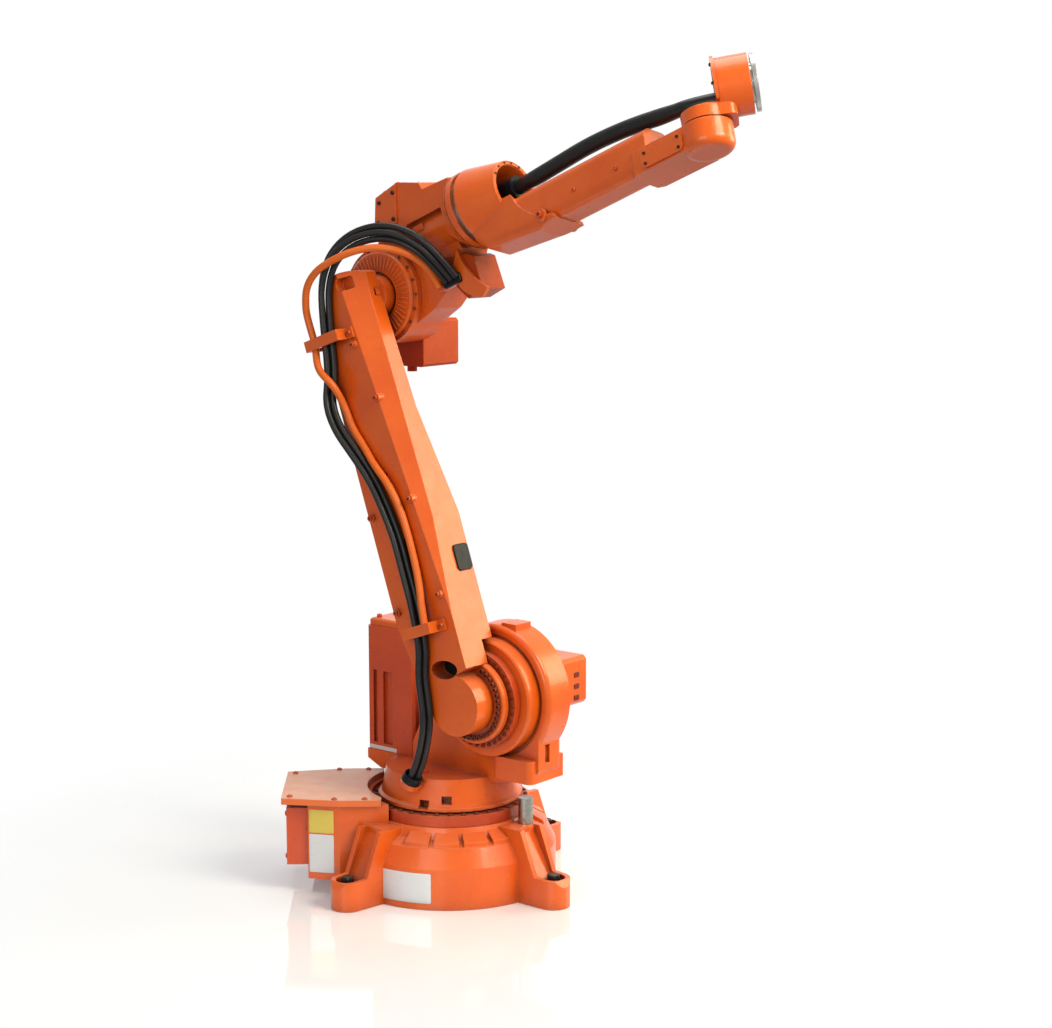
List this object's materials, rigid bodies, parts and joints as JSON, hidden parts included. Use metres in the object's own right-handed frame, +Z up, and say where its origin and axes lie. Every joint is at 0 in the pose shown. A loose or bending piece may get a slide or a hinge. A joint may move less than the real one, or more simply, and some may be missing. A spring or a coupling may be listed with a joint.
{
  "type": "six-axis industrial robot arm",
  "caption": "Orange floor-mounted six-axis industrial robot arm, lower arm at the side of a turning frame, cables clipped along it and a process hose led along the forearm to a hollow wrist",
  "frame": {"origin": "on the floor, where axis 1 meets the underside of the base", "axes": "+X away from the connector box along the foot rows, +Y to its left, +Z up along axis 1"},
  "size_m": [0.9812, 0.8089, 1.7914],
  "materials": {
    "orange_paint": "satin orange enamel on castings",
    "panel_paint": "orange enamel, shaded connector panel",
    "pin_steel": "grey turned steel",
    "ring_steel": "bare ground steel",
    "flange_steel": "bright machined steel",
    "cable": "black cable sheath",
    "orange_hose": "orange hose sheath",
    "hose": "black hose, slight sheen",
    "gland": "black gland"
  },
  "bodies": {
    "base": {"base_casting": "orange_paint", "box_lid": "orange_paint", "connector_panel": "panel_paint", "bearing_ring": "orange_paint", "stop_pin": "pin_steel"},
    "turning_frame": {"frame_casting": "orange_paint", "shoulder_gear_ring": "orange_paint", "axis1_motor": "orange_paint", "axis1_motor_cap": "orange_paint", "axis2_motor": "orange_paint", "cable_plate": "orange_paint", "shoulder_cables": "cable"},
    "lower_arm": {"lower_arm": "orange_paint", "shoulder_flange": "orange_paint", "lower_clamp": "orange_paint", "upper_clamp": "orange_paint", "arm_cables": "cable", "arm_hose": "orange_hose"},
    "upper_arm": {"upper_arm": "orange_paint", "rear_cover": "orange_paint", "axis4_bearing": "ring_steel", "axis3_motor": "orange_paint", "terminal_box": "orange_paint", "cable_bracket": "orange_paint", "elbow_cables": "cable", "elbow_hose": "orange_hose"},
    "forearm": {"forearm_casting": "orange_paint", "hose_gland": "gland", "wrist_covers": "orange_paint", "process_hose": "hose"},
    "tilt_house": {"tilt_house": "orange_paint", "tilt_rear_plate": "orange_paint"},
    "tool_flange": {"tool_flange": "flange_steel"}
  },
  "joints": [
    {"name": "axis_1", "type": "hinge", "parent": "base", "child": "turning_frame", "pos_m": [0, 0, 0.4], "axis": [0, 0, 1], "range_deg": [-180, 180]},
    {"name": "axis_2", "type": "hinge", "parent": "turning_frame", "child": "lower_arm", "pos_m": [0.11321, -0.09841, 0.445], "axis": [0.6561, 0.7547, 0], "range_deg": [-75.6, 174.4], "deforming": ["shoulder_cables"]},
    {"name": "axis_3", "type": "hinge", "parent": "lower_arm", "child": "upper_arm", "pos_m": [-0.11241, 0.09772, 1.2939], "axis": [-0.6561, -0.7547, 0], "range_deg": [-77.8, 177.2], "deforming": ["elbow_cables", "elbow_hose"]},
    {"name": "axis_4", "type": "hinge", "parent": "upper_arm", "child": "forearm", "pos_m": [0.07241, -0.06294, 1.4878], "axis": [0.6988, -0.6074, 0.3778], "range_deg": [-265, 85]},
    {"name": "axis_5", "type": "hinge", "parent": "forearm", "child": "tilt_house", "pos_m": [0.49307, -0.42862, 1.71526], "axis": [-0.118, 0.4231, 0.8984], "range_deg": [-156, 84], "deforming": ["process_hose"]},
    {"name": "axis_6", "type": "hinge", "parent": "tilt_house", "child": "tool_flange", "pos_m": [0.60185, -0.4393, 1.73458], "axis": [0.98, -0.0962, 0.174], "range_deg": [-400, 400]}
  ]
}
